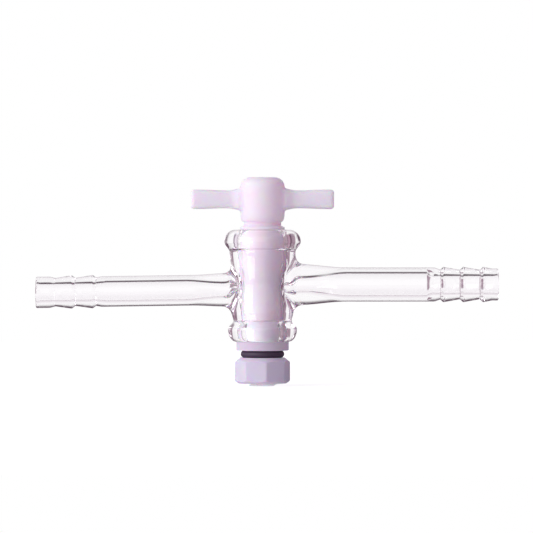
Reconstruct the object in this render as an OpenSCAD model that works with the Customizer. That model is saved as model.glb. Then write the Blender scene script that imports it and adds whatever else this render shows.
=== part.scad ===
// Two-way glass stopcock with a T-handled plastic key.
// Z runs up the key's axis and the hose arms lie along X, the handle in line with them: open.
// The origin is on the key's axis, at the end of its stem. Lengths are in millimetres.

/* [Key] */
// Large diameter of the tapered plug, at its shoulder
plug_big_d = 12.5; // [11:0.1:14]
// Length over which the plug's diameter grows by one millimetre
taper_run = 10; // [8:0.5:14]
// Length of the plug that stands above the barrel's mouth
plug_proud = 0.6; // [0.3:0.1:2]
// How far the plug's small end stays inside the barrel's foot
plug_recess = 0.6; // [0.3:0.1:2]
// Diameter of the flow bore through the plug and of the barrel's ports
port_d = 2.5; // [1:0.1:3.4]
// Height of the flow bore above the barrel's foot
port_h = 15.3; // [13.5:0.1:17]
// Diameter of the neck between the plug and the hub
neck_d = 10.5; // [9:0.1:11.5]
// Height of the neck
neck_h = 1.0; // [0.4:0.1:3]
// Height of the bevel from the neck out to the plug's shoulder
shoulder_h = 0.5; // [0.2:0.1:1]
// Diameter of the hub
hub_d = 12.4; // [11.8:0.1:15]
// Height of the hub above the neck
hub_h = 12.6; // [11:0.1:18]
// Rounding of the hub's top edge
hub_top_round = 2.7; // [0.5:0.1:3.5]
// Height over which the hub rounds in to the neck
hub_root_h = 2.1; // [1:0.1:3]

/* [Handle] */
// Length of the T-handle from tip to tip
handle_span = 40.2; // [32:0.2:56]
// Height of the handle's middle line above the hub's foot
handle_rise = 6.4; // [5.4:0.1:7.4]
// Height of a wing at its tip
wing_tip_h = 5.5; // [4:0.1:6]
// Height of a wing at its waist
wing_waist_h = 5.05; // [3.5:0.05:5.4]
// Height of a wing where it meets the hub
wing_root_h = 5.9; // [4:0.1:6.6]
// Thickness of a wing
wing_t = 4.0; // [2.5:0.1:6]
// Thickness of a wing where it meets the hub
wing_root_t = 7.0; // [4:0.1:9]
// How far a wing's thicker root reaches out from the hub
root_reach = 3.6; // [1.5:0.1:6]
// Rounding of a wing's tip, seen from above
tip_round = 1.2; // [0.4:0.1:1.9]

/* [Stem] */
// Diameter of the threaded stem
stem_d = 8.0; // [6:0.1:8.6]
// Distance across the stem's two flats
stem_flats = 6.8; // [5:0.1:7.4]
// How far the stem's end stands out of the nut
stem_proud = 0.75; // [0.3:0.05:3]
// Bevel at the stem's end
stem_bevel = 0.4; // [0.1:0.1:0.8]

/* [Barrel] */
// Height of the barrel
barrel_h = 31.5; // [29.5:0.1:38]
// Largest diameter of the rolled bead at the mouth
mouth_bead_d = 21.6; // [19.6:0.1:25]
// Height of the mouth's bead, from its widest line to the top
mouth_bead_h = 3.4; // [2.4:0.1:4.2]
// Diameter of the clear mouth above the ground seat
mouth_d = 14.6; // [13.6:0.1:16]
// Depth of the clear mouth
mouth_depth = 5.05; // [3:0.05:6]
// Diameter of the barrel's waist, where the arms are sealed on
waist_d = 15.8; // [14.8:0.1:18]
// Diameter of the neck above the foot's bead
foot_neck_d = 16.4; // [15.6:0.1:18]
// How far the wall swells out again above that neck
foot_ledge = 0.4; // [0.1:0.1:0.8]
// Height over which it swells
foot_ledge_h = 2.0; // [1:0.1:3]
// How far the wall has swelled from the waist where the mouth's bead begins
mouth_swell = 1.4; // [0.6:0.1:2]
// Height of the slope from there out to the bead's widest line
mouth_slope_h = 3.0; // [2:0.1:4]
// Largest diameter of the foot's bead
foot_bead_d = 19.4; // [17.8:0.1:22]
// Height of the foot's bead, from the foot to its widest line
foot_bead_h = 3.6; // [2.4:0.1:4]
// Diameter of the clear foot below the ground seat
foot_bore_d = 12.1; // [11:0.1:13.2]
// Depth of the clear foot
foot_bore_depth = 5.9; // [3:0.1:7]
// Width of the foot's flat end, from the bore outwards
foot_flat = 1.4; // [0.8:0.1:2]
// Diameter of the throat where an arm's bore leaves the barrel's wall
throat_d = 3.8; // [2.8:0.1:4.4]
// Length over which an arm's bore opens out from the throat
throat_flare_l = 13; // [8:0.5:18]
// Running clearance of the plug in the ground seat, on the radius
seat_gap = 0.03; // [0.02:0.01:0.08]

/* [Right arm] */
// Outside diameter of the right arm's tube
right_od = 9.6; // [8.4:0.1:10]
// Bore of the right arm's tube
right_id = 6.4; // [4:0.1:6.8]
// Reach of the right arm from the key's axis to its tip
right_reach = 66.3; // [56:0.1:90]
// Height of the right arm's axis above the barrel's foot
right_arm_h = 16.05; // [15:0.05:17]

/* [Left arm] */
// Outside diameter of the left arm's tube
left_od = 8.6; // [8:0.1:10]
// Bore of the left arm's tube
left_id = 5.3; // [4:0.1:6]
// Reach of the left arm from the key's axis to its tip
left_reach = 63.7; // [56:0.1:90]
// Height of the left arm's axis above the barrel's foot, at the key's axis
left_arm_h = 14.7; // [14:0.05:16]
// Angle by which the left arm droops
left_droop = 0.8; // [0:0.1:3]

/* [Hose ends] */
// Diameter over a serration's crest on the right arm
right_crest_d = 10; // [9:0.1:11]
// Diameter between the serrations of the right arm
right_root_d = 8.4; // [7.6:0.1:8.8]
// Diameter of the right arm's tip
right_tip_d = 9; // [8.4:0.1:9.4]
// Bore under the right arm's serrations
right_end_id = 5.0; // [3:0.1:6]
// Length of the narrower bore behind the right arm's tip
right_end_l = 18; // [14:0.5:24]
// Distance from one crest of the right arm to the next
right_pitch = 5.6; // [5:0.1:7]
// Distance from the right arm's tip to its first crest
right_first_crest = 4.3; // [3.6:0.1:6]
// Length of a crest's steep back on the right arm
right_crest_back = 0.8; // [0.6:0.1:1.8]
// Length of the last ramp, down to the right arm's tip
right_last_ramp = 2.5; // [1.5:0.1:2.8]
// Diameter over a serration's crest on the left arm
left_crest_d = 9.4; // [9:0.1:11]
// Diameter of the left arm's plain tip
left_tip_d = 8.8; // [8.2:0.1:9.2]
// Diameter between the serrations of the left arm
left_root_d = 8.0; // [7.4:0.1:8.4]
// Bore under the left arm's serrations
left_end_id = 4.8; // [3:0.1:5.6]
// Length of the narrower bore behind the left arm's tip
left_end_l = 17.5; // [14:0.5:24]
// Distance from one crest of the left arm to the next
left_pitch = 5.9; // [5:0.1:7]
// Distance from the left arm's tip to its first crest
left_first_crest = 10.1; // [9.7:0.1:12]
// Length of a crest's steep back on the left arm
left_crest_back = 0.9; // [0.5:0.1:1.4]
// Length of the left arm's plain tip
left_tip_l = 3.9; // [3:0.1:4.3]
// Length of the slope up to the plain tip
left_tip_slope = 1.2; // [0.6:0.1:1.2]
// Length of the plain valley between one ramp and the next crest's back
valley_l = 0.4; // [0.2:0.1:0.8]

/* [Washer, seal and nut] */
// Outside diameter of the washer
washer_d = 14.8; // [13:0.1:18]
// Thickness of the washer
washer_t = 2.5; // [1:0.1:4]
// Thickness of the O-ring's cord
cord_d = 2.1; // [1.5:0.05:2.4]
// How much the nut flattens the O-ring
squeeze = 0.1; // [0.04:0.02:0.3]
// Distance across the nut's corners
nut_corners = 15.8; // [14:0.1:20]
// Height of the nut
nut_h = 7.25; // [5:0.05:10]
// Diameter of the nut's flat top
nut_top_d = 12.6; // [12.6:0.1:13]
// Drop of the bevel over the nut's upper corners
nut_top_drop = 1.3; // [0.4:0.1:2]
// Diameter of the nut's flat underside
nut_foot_d = 13.4; // [11:0.1:13.6]
// Rise of the bevel under the nut's lower corners
nut_foot_rise = 0.8; // [0.3:0.1:2]
// Angle by which the nut's first corner is turned from the arms
nut_turn = 8; // [0:1:44]
// Running clearance of the washer, seal and nut on the stem, on the radius
stem_gap = 0.06; // [0.03:0.01:0.1]

/* [Hidden] */
$fn = 96;

far = 1;                 // how far a cutter runs past the face that it cuts
curve_steps = 10;        // straight runs in each rounded stretch of an outline

// Heights along the key's axis, from the stem's end up
seal_h = cord_d - squeeze;
nut_z = stem_proud;
seal_z = nut_z + nut_h;
washer_z = seal_z + seal_h;
barrel_z = washer_z + washer_t;
barrel_top = barrel_z + barrel_h;
plug_z = barrel_z + plug_recess;
plug_top = barrel_top + plug_proud;
neck_z = plug_top + shoulder_h;
hub_z = neck_z + neck_h;
hub_top = hub_z + hub_h;
handle_z = hub_z + handle_rise;
port_z = barrel_z + port_h;
right_z = barrel_z + right_arm_h;
left_z = barrel_z + left_arm_h;
seat_z = barrel_z + foot_bore_depth;
seat_top = barrel_top - mouth_depth;

// Radius of the tapered plug at a height
function plug_r(z) = (plug_big_d - (plug_top - z) / taper_run) / 2;

// Points of an elliptical arc about a centre, from one angle to another
function arc(c, rx, ry, from, to) =
    [for (i = [0:curve_steps]) let (a = from + (to - from) * i / curve_steps)
        [c[0] + rx * cos(a), c[1] + ry * sin(a)]];

// Points of a level-ended wave from one point to the next, the first one left out
function wave(p, q) =
    [for (i = [1:curve_steps]) let (t = i / curve_steps)
        [p[0] + (q[0] - p[0]) * (1 - cos(180 * t)) / 2, p[1] + (q[1] - p[1]) * t]];

// ---------- key ----------

stem_r = stem_d / 2;
hub_r = hub_d / 2;
neck_r = neck_d / 2;
dome_r = hub_r - hub_top_round;

// Half outline of the turned key, from the stem's end to the hub's top
key_outline = concat(
    [[0, 0], [stem_r - stem_bevel, 0], [stem_r, stem_bevel], [stem_r, plug_z],
     [plug_r(plug_z), plug_z], [plug_r(plug_top), plug_top], [neck_r, neck_z]],
    arc([neck_r, hub_z + hub_root_h], hub_r - neck_r, hub_root_h, -90, 0),
    arc([dome_r, hub_top - hub_top_round], hub_top_round, hub_top_round, 0, 90),
    [[0, hub_top]]);

wing_l = handle_span / 2;
tip_edge = 0.7;          // rounding of a wing's tip, seen from the front
waist_x = wing_l / 2;    // where a wing is slimmest
tip_flat_x = wing_l - tip_edge;

// A height or thickness that falls off along a parabola, from one value to the next
function fall(from, to, t) = to + (from - to) * pow(1 - t, 2);

// Upper half outline of a wing seen from the front, as [x, height above its middle line]
wing_upper = concat(
    [[0, wing_root_h / 2]],
    [for (i = [0:curve_steps]) let (t = i / curve_steps)
        [hub_r + (waist_x - hub_r) * t, fall(wing_root_h, wing_waist_h, t) / 2]],
    [for (p = wave([wing_waist_h / 2, waist_x], [wing_tip_h / 2, tip_flat_x - far]))
        [p[1], p[0]]],
    arc([tip_flat_x, wing_tip_h / 2 - tip_edge], tip_edge, tip_edge, 90, 0));

// Half outline of a wing seen from above, as [x, half thickness]: the root widens to the hub
root_x = hub_r + root_reach;
root_foot_x = sqrt(pow(hub_r, 2) - pow(wing_root_t / 2, 2));
wing_plan = concat(
    [[0, wing_root_t / 2]],
    [for (i = [0:curve_steps]) let (t = i / curve_steps)
        [root_foot_x + (root_x - root_foot_x) * t, fall(wing_root_t, wing_t, t) / 2]],
    arc([wing_l - tip_round, wing_t / 2 - tip_round], tip_round, tip_round, 90, 0));

// Mirrors an upper half outline below the x axis and closes it
module both_halves(upper) {
    n = len(upper);
    polygon(concat(upper, [for (i = [1:n]) [upper[n - i][0], -upper[n - i][1]]]));
}

// One wing of the handle, pointing along +X from the hub's axis
module wing() {
    intersection() {
        rotate([90, 0, 0])
            linear_extrude(height = hub_d, center = true) both_halves(wing_upper);
        linear_extrude(height = hub_h, center = true) both_halves(wing_plan);
    }
}

// The key: handle, tapered plug and flatted stem, one piece
module key() {
    color("white")
    difference() {
        union() {
            rotate_extrude() polygon(key_outline);
            for (side = [0, 180])
                translate([0, 0, handle_z]) rotate([0, 0, side]) wing();
        }
        translate([0, 0, port_z]) rotate([0, 90, 0])
            cylinder(h = plug_big_d + far, r = port_d / 2, center = true);
        for (side = [-1, 1])
            translate([-stem_d, side * (stem_flats / 2 + stem_d / 2) - stem_d / 2, -far])
                cube([2 * stem_d, stem_d, plug_z + far]);
    }
}

// ---------- glass ----------

mouth_bead_r = mouth_bead_d / 2;
foot_bead_r = foot_bead_d / 2;
waist_r = waist_d / 2;
mouth_r = mouth_d / 2;
foot_bore_r = foot_bore_d / 2;
bead_z = barrel_top - mouth_bead_h;
lip = 0.2;               // flat left on the mouth and the foot by fire polishing
foot_flat_r = foot_bore_r + foot_flat;
foot_neck_r = foot_neck_d / 2;
foot_ledge_r = foot_neck_r + foot_ledge;
foot_ledge_z = seat_z + foot_ledge_h;
swell_r = waist_r + mouth_swell;
swell_z = bead_z - mouth_slope_h;

// Half outline of the barrel's outside, from the foot to the mouth
barrel_outline = concat(
    [[0, barrel_z]],
    arc([foot_flat_r, barrel_z + foot_bead_h], foot_bead_r - foot_flat_r, foot_bead_h, -90, 0),
    wave([foot_bead_r, barrel_z + foot_bead_h], [foot_neck_r, seat_z]),
    wave([foot_neck_r, seat_z], [foot_ledge_r, foot_ledge_z]),
    wave([foot_ledge_r, foot_ledge_z], [waist_r, right_z]),
    wave([waist_r, right_z], [swell_r, swell_z]),
    wave([swell_r, swell_z], [mouth_bead_r, bead_z]),
    arc([mouth_r + lip, bead_z], mouth_bead_r - mouth_r - lip, mouth_bead_h, 0, 90),
    [[0, barrel_top]]);

seat_lead = 0.6;         // height of the slope from the seat out towards the mouth's wall
seat_round = 0.3;        // how far that slope stops short of the wall
seat_round_h = 1;        // height of the steeper slope that follows it

// Half outline of everything cut out of the barrel: foot, ground seat and mouth
bore_outline = [
    [0, barrel_z - far], [foot_bore_r, barrel_z - far], [foot_bore_r, seat_z],
    [plug_r(seat_z) + seat_gap, seat_z], [plug_r(seat_top) + seat_gap, seat_top],
    [mouth_r - seat_round, seat_top + seat_lead],
    [mouth_r, seat_top + seat_lead + seat_round_h],
    [mouth_r, barrel_top + far], [0, barrel_top + far]];

// One serration, from its back face out to the foot of its ramp, where its radius is foot_r.
// Distances are measured from the tip; the outline runs towards the tip.
function serration(reach, crest, crest_r, back, root_r, ramp, foot_r) = [
    [root_r, reach - crest - back], [crest_r, reach - crest], [foot_r, reach - crest + ramp]];

polish = 0.35;           // rounding of a tip's edges by fire polishing
tube_blend = 1.6;        // length over which a tube draws in to its first serration

right_ramp = right_pitch - right_crest_back - valley_l;
left_ramp = left_pitch - left_crest_back - valley_l;

right_serrations = [for (i = [2, 1, 0])
    serration(right_reach, right_first_crest + i * right_pitch, right_crest_d / 2,
              right_crest_back, right_root_d / 2, i == 0 ? right_last_ramp : right_ramp,
              (i == 0 ? right_tip_d : right_root_d) / 2)];
left_serrations = [
    for (i = [1, 0]) serration(left_reach, left_first_crest + i * left_pitch,
                               left_crest_d / 2, left_crest_back, left_root_d / 2, left_ramp,
                               left_root_d / 2),
    [[left_root_d / 2, left_reach - left_tip_l - left_tip_slope],
     [left_tip_d / 2, left_reach - left_tip_l]]];

// Half outline of an arm, as [radius, distance along the arm]
function arm_outline(tube_r, reach, serrations, tip_r) = concat(
    [[0, 0], [tube_r, 0], [tube_r, serrations[0][0][1] - tube_blend]],
    [for (s = serrations) for (p = s) p],
    arc([tip_r - polish, reach - polish], polish, polish, 0, 90),
    [[0, reach]]);

port_r = port_d / 2;
throat_r = throat_d / 2;
throat_x = waist_r + 1.5;            // where the port has opened out to the throat
throat_end = throat_x + 1.5;         // where the throat begins to flare
flare_end = throat_end + throat_flare_l;
draw_l = 2;                          // length over which a bore draws in to the hose end
lip_l = 1.5;                         // length over which it opens again at the tip

// Half outline of an arm's bore: it draws in to the port and under the hose end
function lumen_outline(tube_r, end_r, reach, end_l) = concat(
    [[0, 0], [port_r, 0], [port_r, plug_big_d / 2], [throat_r, throat_x],
     [throat_r, throat_end]],
    wave([throat_r, throat_end], [tube_r, flare_end]),
    [[tube_r, reach - end_l - draw_l], [end_r, reach - end_l], [end_r, reach - lip_l],
     [end_r + polish, reach], [end_r + polish, reach + far], [0, reach + far]]);

// A solid of revolution about an arm's axis, which points along +Z before it is placed
module turned(outline) {
    rotate_extrude() polygon(outline);
}

module place_right() {
    translate([0, 0, right_z]) rotate([0, 90, 0]) children();
}

module place_left() {
    translate([0, 0, left_z]) rotate([0, -90 - left_droop, 0]) children();
}

// The seal where an arm's tube flares on to the barrel's wall. Its fillet is tall in the
// plane of the axes and small at the sides, and each ring lies at the same share of it.
seal_sides = 40;
seal_rings = 7;
seal_tall = 4.6;         // fillet radius above and below the arm
seal_wide = 1.8;         // fillet radius beside the arm
seal_sink = 0.08;        // how far the fillet's edges sink in, so that they blend
seal_wall_r = waist_r + 0.2;         // the wall that it meets, which swells out of the waist

function seal_fillet(a) = seal_wide + (seal_tall - seal_wide) * pow(cos(a), 2);
function seal_point(tube_r, u, a) =
    let (f = seal_fillet(a),
         rho = tube_r - seal_sink + f * (1 - cos(90 * u)),
         wall = sqrt(pow(seal_wall_r, 2) - pow(rho * sin(a), 2)),
         lift = f * (1 - sin(90 * u)) - seal_sink)
    [rho * cos(a), rho * sin(a), wall + lift];

module arm_seal(tube_r) {
    rings = seal_rings + 1;
    points = concat(
        [for (k = [0:seal_rings]) for (i = [0:seal_sides - 1])
            seal_point(tube_r, k / seal_rings, 360 * i / seal_sides)],
        [[0, 0, waist_r + seal_wide], [0, 0, waist_r / 2]]);
    outer = rings * seal_sides;
    faces = concat(
        [for (k = [0:seal_rings - 1]) for (i = [0:seal_sides - 1])
            let (j = (i + 1) % seal_sides, a = k * seal_sides, b = a + seal_sides)
            each [[a + i, a + j, b + j], [a + i, b + j, b + i]]],
        [for (i = [0:seal_sides - 1]) [outer, (i + 1) % seal_sides, i]],
        [for (i = [0:seal_sides - 1])
            [outer + 1, seal_rings * seal_sides + i,
             seal_rings * seal_sides + (i + 1) % seal_sides]]);
    polyhedron(points, faces);
}

// The blown glass body: barrel, two arms and their hose ends, fused into one piece
module glass_body() {
    color("lightcyan", 0.4)
    difference() {
        union() {
            rotate_extrude() polygon(barrel_outline);
            place_right() turned(arm_outline(right_od / 2, right_reach, right_serrations,
                                             right_tip_d / 2));
            place_left() turned(arm_outline(left_od / 2, left_reach, left_serrations,
                                            left_tip_d / 2));
            place_right() arm_seal(right_od / 2);
            place_left() arm_seal(left_od / 2);
        }
        rotate_extrude() polygon(bore_outline);
        place_right() turned(lumen_outline(right_id / 2, right_end_id / 2, right_reach,
                                           right_end_l));
        place_left() turned(lumen_outline(left_id / 2, left_end_id / 2, left_reach,
                                          left_end_l));
    }
}

// ---------- washer, seal and nut ----------

hole_r = stem_r + stem_gap;
hole_flats = stem_flats + 2 * stem_gap;

// The washer: its hole has two flats, so that it turns with the key
module washer() {
    color("whitesmoke")
    translate([0, 0, washer_z])
    difference() {
        cylinder(h = washer_t, r = washer_d / 2);
        intersection() {
            translate([0, 0, -far]) cylinder(h = washer_t + 2 * far, r = hole_r);
            translate([-stem_d, -hole_flats / 2, -far])
                cube([2 * stem_d, hole_flats, washer_t + 2 * far]);
        }
    }
}

// The O-ring, pressed flat where the washer and the nut bear on it
module o_ring() {
    color("dimgray")
    translate([0, 0, seal_z + seal_h / 2])
    intersection() {
        rotate_extrude() translate([hole_r + cord_d / 2, 0]) circle(d = cord_d, $fn = 48);
        cube([2 * washer_d, 2 * washer_d, seal_h], center = true);
    }
}

nut_r = nut_corners / 2;

// The eight-sided nut, its corners bevelled above and below
module nut() {
    color("lavender")
    translate([0, 0, nut_z])
    difference() {
        intersection() {
            rotate([0, 0, nut_turn]) cylinder(h = nut_h, r = nut_r, $fn = 8);
            rotate_extrude() polygon([
                [0, 0], [nut_foot_d / 2, 0], [nut_r, nut_foot_rise],
                [nut_r, nut_h - nut_top_drop], [nut_top_d / 2, nut_h], [0, nut_h]]);
        }
        translate([0, 0, -far]) cylinder(h = nut_h + 2 * far, r = hole_r);
    }
}

glass_body();
key();
washer();
o_ring();
nut();
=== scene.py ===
"""Looks of a two-way glass stopcock with a fluoroplastic key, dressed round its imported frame.

Sizes inside the classes are in millimetres, and a mesh is turned to metres when it is made.
"""

import logging
import math
from collections.abc import Callable
from dataclasses import dataclass
from enum import Enum
from functools import partial

import bmesh
import bpy
import numpy as np
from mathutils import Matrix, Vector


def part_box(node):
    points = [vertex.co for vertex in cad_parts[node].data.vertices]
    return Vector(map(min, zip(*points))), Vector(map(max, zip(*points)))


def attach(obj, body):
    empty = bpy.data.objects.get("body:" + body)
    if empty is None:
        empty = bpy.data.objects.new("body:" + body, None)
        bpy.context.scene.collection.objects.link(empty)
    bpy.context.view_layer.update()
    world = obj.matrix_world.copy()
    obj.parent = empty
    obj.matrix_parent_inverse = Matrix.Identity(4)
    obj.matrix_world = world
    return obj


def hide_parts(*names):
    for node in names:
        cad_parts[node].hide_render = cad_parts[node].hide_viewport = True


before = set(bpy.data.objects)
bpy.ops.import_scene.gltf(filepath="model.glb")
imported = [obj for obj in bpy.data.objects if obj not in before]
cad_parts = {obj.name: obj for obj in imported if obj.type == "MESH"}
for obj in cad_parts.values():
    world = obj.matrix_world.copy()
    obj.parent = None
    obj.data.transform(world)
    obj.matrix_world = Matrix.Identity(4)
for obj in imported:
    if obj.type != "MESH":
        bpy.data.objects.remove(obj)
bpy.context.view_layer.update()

LOG = logging.getLogger("stopcock")
MM = 0.001

FALL = (1.0, 0.0)       # the ends of a ramp that falls
FINE = (0.05, 0.12)     # how a small bend is held: from its ends, and its longest run
WHITE = (1, 1, 1, 1)

Array = np.ndarray
Contour = Callable[[np.ndarray], np.ndarray]
Pair = tuple[float, float]
Cells = tuple[int, int]         # rows of a window, and half of its columns
Triple = tuple[float, float, float]
Colour = tuple[float, float, float, float]
Piece = bpy.types.Object
Tree = bpy.types.NodeTree
Node = bpy.types.Node
Socket = bpy.types.NodeSocket


# ---------------------------------------------------------------- outlines


def span(node: str) -> tuple[Array, Array]:
    """Lowest and highest corner of a node of the frame, in millimetres."""
    low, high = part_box(node)
    return np.array(low) / MM, np.array(high) / MM


def arc(centre: Pair, radii: Pair, start: float, end: float, steps: int = 12) -> Array:
    """Points of (radius, height) on an arc: centre + radii * (cos a, sin a), a in degrees."""
    a = np.radians(np.linspace(start, end, steps + 1))
    return np.stack([centre[0] + radii[0] * np.cos(a), centre[1] + radii[1] * np.sin(a)], 1)


def eased(at: Array, knots: list[tuple]) -> Array:
    """Value along knots, with a level-ended cosine wave from each knot to the next.

    Args:
        at: Where the value is wanted.
        knots: Pairs of (place, value), in rising order of place.

    Returns:
        r0 + (r1 - r0) * (1 - cos(pi t)) / 2 between the knots, and the end values outside.
    """
    place, value = (np.array(k, float) for k in zip(*knots))
    i = np.clip(np.searchsorted(place, at, side="right") - 1, 0, len(place) - 2)
    t = np.clip((at - place[i]) / (place[i + 1] - place[i]), 0, 1)
    return value[i] + (value[i + 1] - value[i]) * (1 - np.cos(np.pi * t)) / 2


def rounded(corners: list[tuple], steps: int = 5) -> Array:
    """A path through corners, each one replaced by an arc that touches both of its sides.

    Args:
        corners: Each (radius, height, rounding); a rounding of 0 keeps the corner.
        steps: Straight runs in each arc.

    Returns:
        Points of (radius, height).
    """
    path = []
    for i, (r, z, bend) in enumerate(corners):
        here = np.array([r, z], float)
        if bend == 0 or i in (0, len(corners) - 1):
            path.append(here[None])
            continue
        back = np.array(corners[i - 1][:2], float) - here
        on = np.array(corners[i + 1][:2], float) - here
        back /= np.linalg.norm(back)
        on /= np.linalg.norm(on)
        half = math.acos(float(np.clip(back @ on, -1, 1))) / 2
        middle = here + (back + on) / np.linalg.norm(back + on) * bend / math.sin(half)
        first = here + back * bend / math.tan(half) - middle
        last = here + on * bend / math.tan(half) - middle
        turn = math.atan2(first[0] * last[1] - first[1] * last[0], float(first @ last))
        a = np.linspace(0, turn, steps + 1)[:, None]
        path.append(middle + first * np.cos(a) + np.array([-first[1], first[0]]) * np.sin(a))
    return np.concatenate(path)


def held(path: Array, hold: float = 0.1, longest: float = 2.0) -> Array:
    """Adds points to a path's straight runs, so that smooth shading stays true beside a bend.

    Args:
        path: Points of (radius, height).
        hold: Distance from a run's ends at which it is held.
        longest: Longest run left whole.

    Returns:
        The path with its added points.
    """
    out = [path[:1]]
    for p, q in zip(path[:-1], path[1:]):
        length = float(np.linalg.norm(q - p))
        if length > 3 * hold:
            inner = np.linspace(hold, length - hold, max(2, math.ceil(length / longest) + 1))
            out.append(p + (q - p) * (inner / length)[:, None])
        out.append(q[None])
    return np.concatenate(out)


def soft_min(a: Array, b: Array, blend: float) -> Array:
    """The smaller of two values, rounded over: (a + b - sqrt((a - b)^2 + blend^2)) / 2."""
    return (a + b - np.sqrt((a - b) ** 2 + blend**2)) / 2


def smooth_step(x: Array, low: float, high: float) -> Array:
    """0 below low and 1 above high, with t * t * (3 - 2 t) between them."""
    t = np.clip((x - low) / (high - low), 0, 1)
    return t * t * (3 - 2 * t)


def level(value: float) -> Contour:
    """A contour with the same value everywhere."""
    return lambda at: value + 0 * at


def level_face(radii: tuple[float, ...], z: float) -> Array:
    """Points of (radius, height) across a level face."""
    return np.array([(r, z) for r in radii])


def flatted(a: Array, across: float) -> Array:
    """Distance at an angle of two flats that face +Y and -Y: across / 2 / |sin a|."""
    return across / 2 / np.maximum(np.abs(np.sin(a)), 0.2)


def angle_and_radius(points: Array) -> tuple[Array, Array]:
    """Angle round the Z axis and distance from it: atan2(y, x) and sqrt(x^2 + y^2)."""
    x, y = points[..., 0], points[..., 1]
    return np.arctan2(y, x), np.hypot(x, y)


# ---------------------------------------------------------------- meshes


class Skin:
    """The closed skin of one piece, gathered from rows of points."""

    def __init__(self) -> None:
        """Starts an empty skin."""
        self.blocks: list[Array] = []
        self.quads: list[Array] = []
        self.fans: list[Array] = []
        self.total = 0

    def add(self, points: Array) -> Array:
        """Takes points in.

        Args:
            points: Array whose last axis is (x, y, z), in millimetres.

        Returns:
            Their indices, in the layout of the points.
        """
        flat = points.reshape(-1, 3)
        self.blocks.append(flat)
        self.total += len(flat)
        return np.arange(self.total - len(flat), self.total).reshape(points.shape[:-1])

    def places(self, indices: Array) -> Array:
        """Where points of the skin are."""
        return np.concatenate(self.blocks)[indices]

    def weave(self, rows: Array, kept: Array | None = None) -> None:
        """Fills the space between each closed row and the next with quads.

        Args:
            rows: Indices, one closed ring to a row.
            kept: Which cells are filled; all of them if it is left out.
        """
        cells = np.stack([rows[:-1], np.roll(rows[:-1], -1, 1),
                          np.roll(rows[1:], -1, 1), rows[1:]], -1)
        self.quads.append(cells[kept] if kept is not None else cells.reshape(-1, 4))

    def close(self, ring: Array, tip: Triple) -> None:
        """Closes a ring of the skin with a fan to a point."""
        pole = self.add(np.array([tip], float))[0]
        self.fans.append(np.stack([ring, np.roll(ring, -1), np.full(len(ring), pole)], -1))

    def branch(self, edge: Array, rings: Array) -> Array:
        """Carries the skin on from a ring of it through new rings.

        Args:
            edge: Indices of the ring that the branch starts from.
            rings: Points, one ring to a row, as many in each as in the edge.

        Returns:
            Indices of the last ring.
        """
        rows = np.concatenate([edge[None], self.add(rings)])
        self.weave(rows)
        return rows[-1]

    def build(self, name: str) -> Piece:
        """Makes the mesh object, its faces outwards and smooth.

        Args:
            name: Name of the piece.

        Returns:
            The object, at the origin.
        """
        quads = np.concatenate(self.quads)
        fans = np.concatenate(self.fans) if self.fans else np.zeros((0, 3), int)
        corners = np.concatenate([quads.ravel(), fans.ravel()])
        used, corners = np.unique(corners, return_inverse=True)
        points = np.concatenate(self.blocks)[used] * MM
        starts = np.concatenate([np.arange(len(quads)) * 4,
                                 quads.size + np.arange(len(fans)) * 3])
        mesh = bpy.data.meshes.new(name)
        mesh.vertices.add(len(points))
        mesh.vertices.foreach_set("co", points.astype(np.float32).ravel())
        mesh.loops.add(len(corners))
        mesh.loops.foreach_set("vertex_index", corners.astype(np.int32).ravel())
        mesh.polygons.add(len(starts))
        mesh.polygons.foreach_set("loop_start", starts.astype(np.int32))
        mesh.update(calc_edges=True)
        mesh.validate()
        work = bmesh.new()
        work.from_mesh(mesh)
        bmesh.ops.recalc_face_normals(work, faces=work.faces)
        work.to_mesh(mesh)
        work.free()
        mesh.shade_smooth()
        piece = bpy.data.objects.new(name, mesh)
        bpy.context.scene.collection.objects.link(piece)
        return piece


@dataclass
class Window:
    """A rectangle of cells that a turned skin leaves out, so that a branch can join it there."""

    side: int       # +1 where the branch points along +X, -1 along -X
    half: int       # cells on either side of the X axis
    low: int        # row of its lower edge
    high: int       # row of its upper edge

    def count(self) -> int:
        """Points round the window's edge."""
        return 2 * (2 * self.half + abs(self.high - self.low))

    def edge(self, grid: Array) -> Array:
        """The window's edge: along its foot, up at +Y, back along its head and down at -Y.

        Args:
            grid: Indices of the turned skin, one ring to a row.

        Returns:
            Indices of the edge's points.
        """
        middle = 0 if self.side > 0 else grid.shape[1] // 2
        across = (middle + self.side * np.arange(-self.half, self.half + 1)) % grid.shape[1]
        step = 1 if self.high > self.low else -1
        up = np.arange(self.low, self.high + step, step)
        return np.concatenate([grid[self.low, across[:-1]], grid[up[:-1], across[-1]],
                               grid[self.high, across[:0:-1]], grid[up[:0:-1], across[0]]])

    def angles(self) -> Array:
        """Even angles round the branch from +Z towards +Y, one for each point of the edge."""
        step = 2 * np.pi / self.count()
        return np.pi + (self.half - np.arange(self.count())) * step

    def cells(self, shape: tuple) -> Array:
        """Which cells of a turned skin lie in the window.

        Args:
            shape: Rows and columns of cells in the skin.

        Returns:
            A mask of that shape.
        """
        middle = 0 if self.side > 0 else shape[1] // 2
        inside = np.zeros(shape, bool)
        across = (middle + np.arange(-self.half, self.half)) % shape[1]
        inside[min(self.low, self.high):max(self.low, self.high), across] = True
        return inside


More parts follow.
